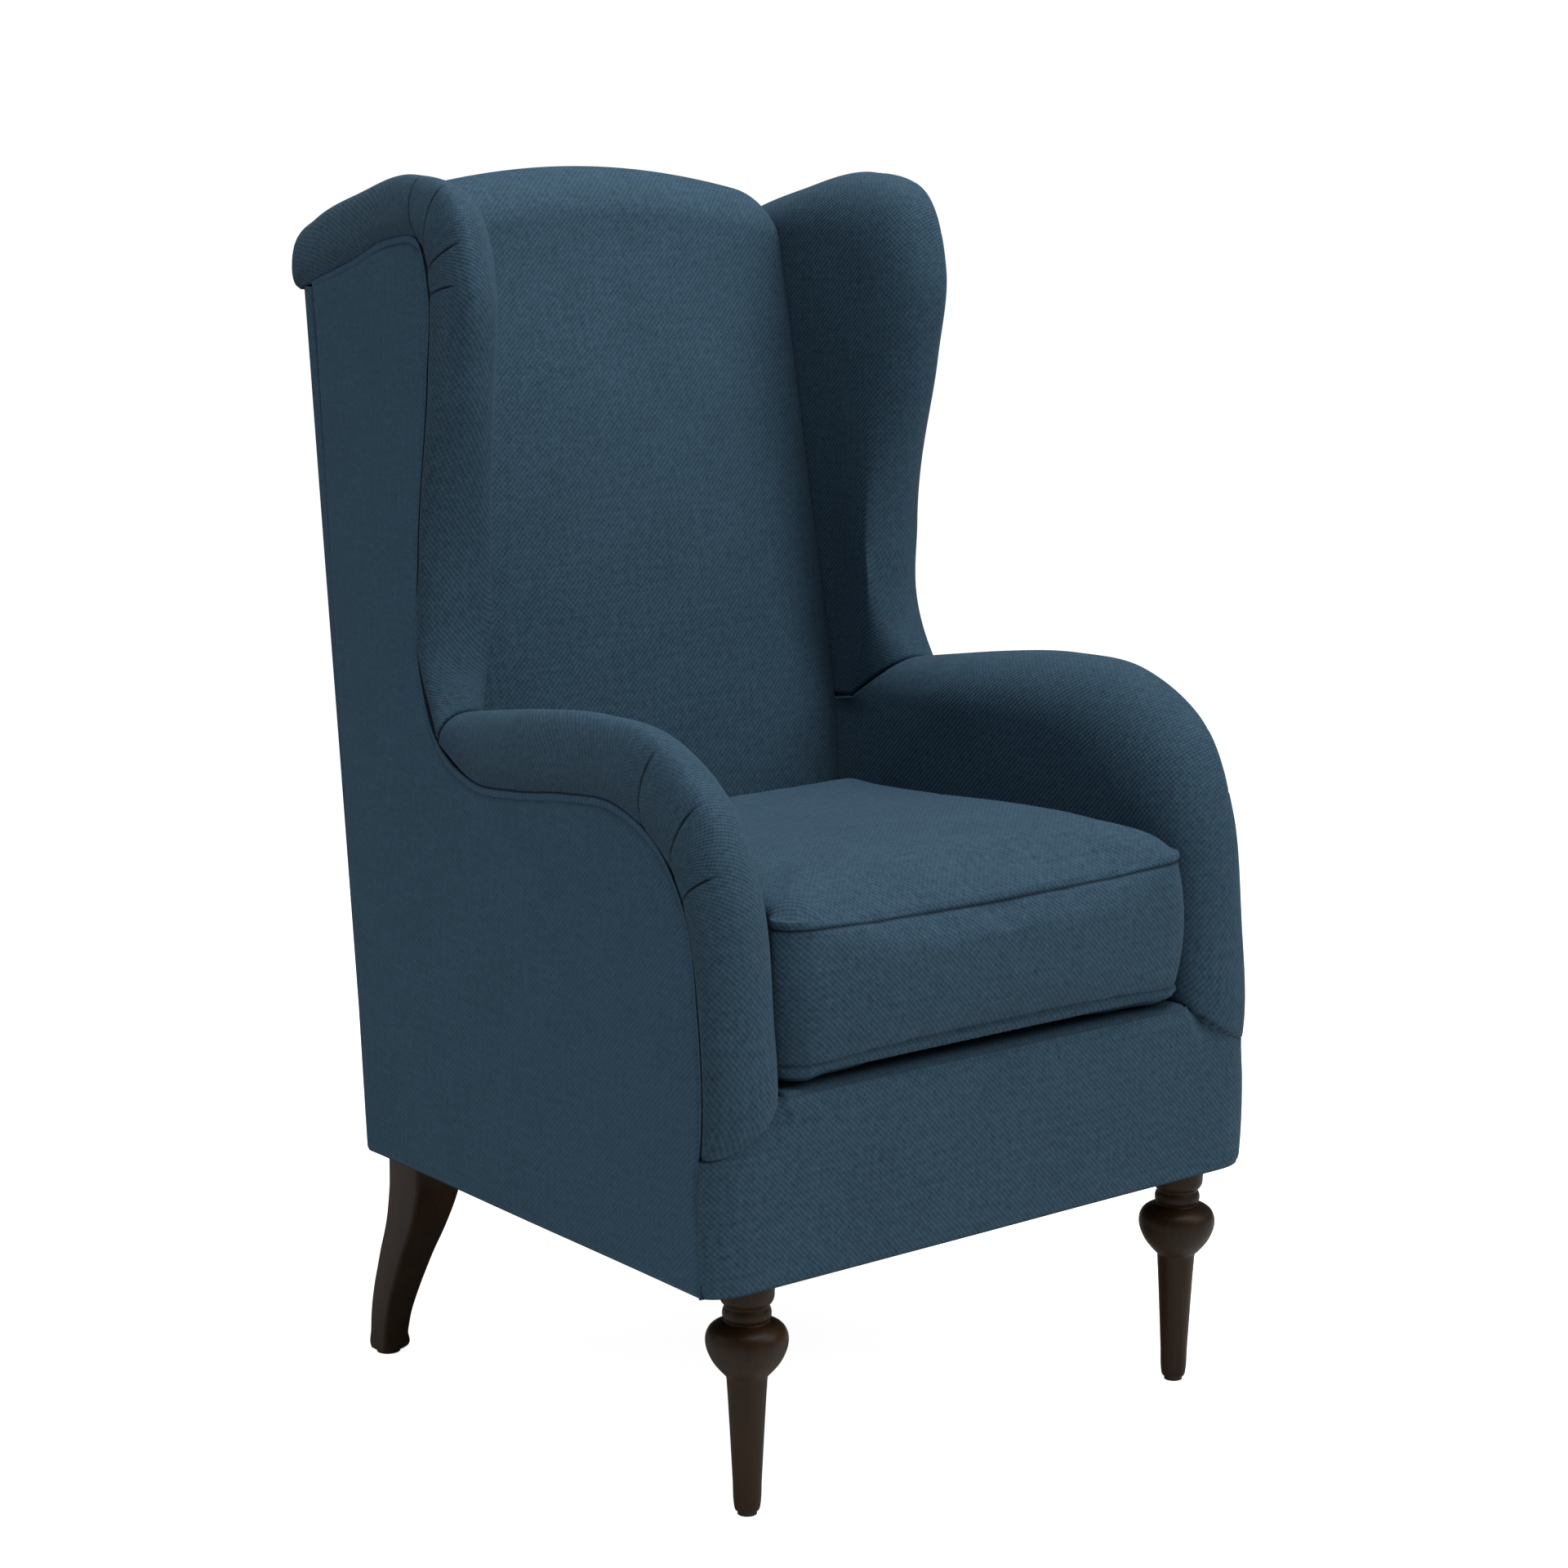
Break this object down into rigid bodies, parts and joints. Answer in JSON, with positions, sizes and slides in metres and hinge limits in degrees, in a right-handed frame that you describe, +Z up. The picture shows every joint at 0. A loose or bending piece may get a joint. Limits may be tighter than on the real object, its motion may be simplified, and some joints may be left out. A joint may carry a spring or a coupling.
{
  "type": "wing armchair",
  "caption": "Stationary high-back wing armchair with rolled arms and wings, turned front legs, swept rear legs and a loose boxed seat cushion that lifts out.",
  "frame": {"origin": "on the floor, in the middle of the chair's footprint box", "axes": "+Z up, the chair faces -Y, +X is the sitter's left"},
  "size_m": [0.618, 0.6717, 1.0911],
  "materials": {
    "cover": "matte",
    "foam": "matte",
    "decking": "matte",
    "burlap": "matte",
    "webbing": "matte",
    "liner": "matte",
    "dust_cloth": "matte",
    "frame_wood": "matte",
    "leg_wood": "satin",
    "spring_steel": "satin",
    "hardware_steel": "satin",
    "glide": "matte",
    "zip_tape": "matte",
    "zip_metal": "satin"
  },
  "bodies": {
    "chair": {"left_arm_pad": "cover", "right_arm_pad": "cover", "left_wing_pad": "cover", "right_wing_pad": "cover", "left_side_panel": "cover", "right_side_panel": "cover", "left_side_welt": "cover", "right_side_welt": "cover", "inside_back_pad": "cover", "outside_back_panel": "cover", "front_border": "cover", "front_edge_roll": "foam", "deck_pad": "foam", "deck_cover": "decking", "back_burlap": "burlap", "spring_cloth": "burlap", "back_webbing": "webbing", "left_arm_liner": "liner", "right_arm_liner": "liner", "left_wing_liner": "liner", "right_wing_liner": "liner", "dust_cover": "dust_cloth", "left_side_rail": "frame_wood", "right_side_rail": "frame_wood", "left_arm_post": "frame_wood", "right_arm_post": "frame_wood", "left_arm_rail": "frame_wood", "right_arm_rail": "frame_wood", "left_wing_post": "frame_wood", "right_wing_post": "frame_wood", "left_wing_rail": "frame_wood", "right_wing_rail": "frame_wood", "left_back_post": "frame_wood", "right_back_post": "frame_wood", "front_rail": "frame_wood", "back_rail": "frame_wood", "corner_blocks": "frame_wood", "crest_rail": "frame_wood", "lower_back_rail": "frame_wood", "left_front_leg": "leg_wood", "right_front_leg": "leg_wood", "left_rear_leg": "leg_wood", "right_rear_leg": "leg_wood", "seat_springs": "spring_steel", "spring_tie_wires": "spring_steel", "spring_clips": "hardware_steel", "hanger_bolts": "hardware_steel", "leg_plates": "hardware_steel", "leg_glides": "glide"},
    "cushion": {"cushion_foam": "foam", "cushion_boxing": "cover", "cushion_top_cover": "cover", "cushion_bottom_cover": "cover", "zip_tape": "zip_tape"},
    "slider": {"zip_slider": "zip_metal"},
    "pull": {"zip_pull": "zip_metal"}
  },
  "joints": [
    {"name": "cushion_lift", "type": "slide", "parent": "chair", "child": "cushion", "axis": [0, 0, 1], "range_m": [0, 0.74]},
    {"name": "zip_slide", "type": "slide", "parent": "cushion", "child": "slider", "axis": [-1, 0, 0], "range_m": [0, 0.36]},
    {"name": "zip_pull_swing", "type": "hinge", "parent": "slider", "child": "pull", "pos_m": [0.18, 0.1182, 0.4295], "axis": [1, 0, 0], "range_deg": [0, 12]}
  ]
}
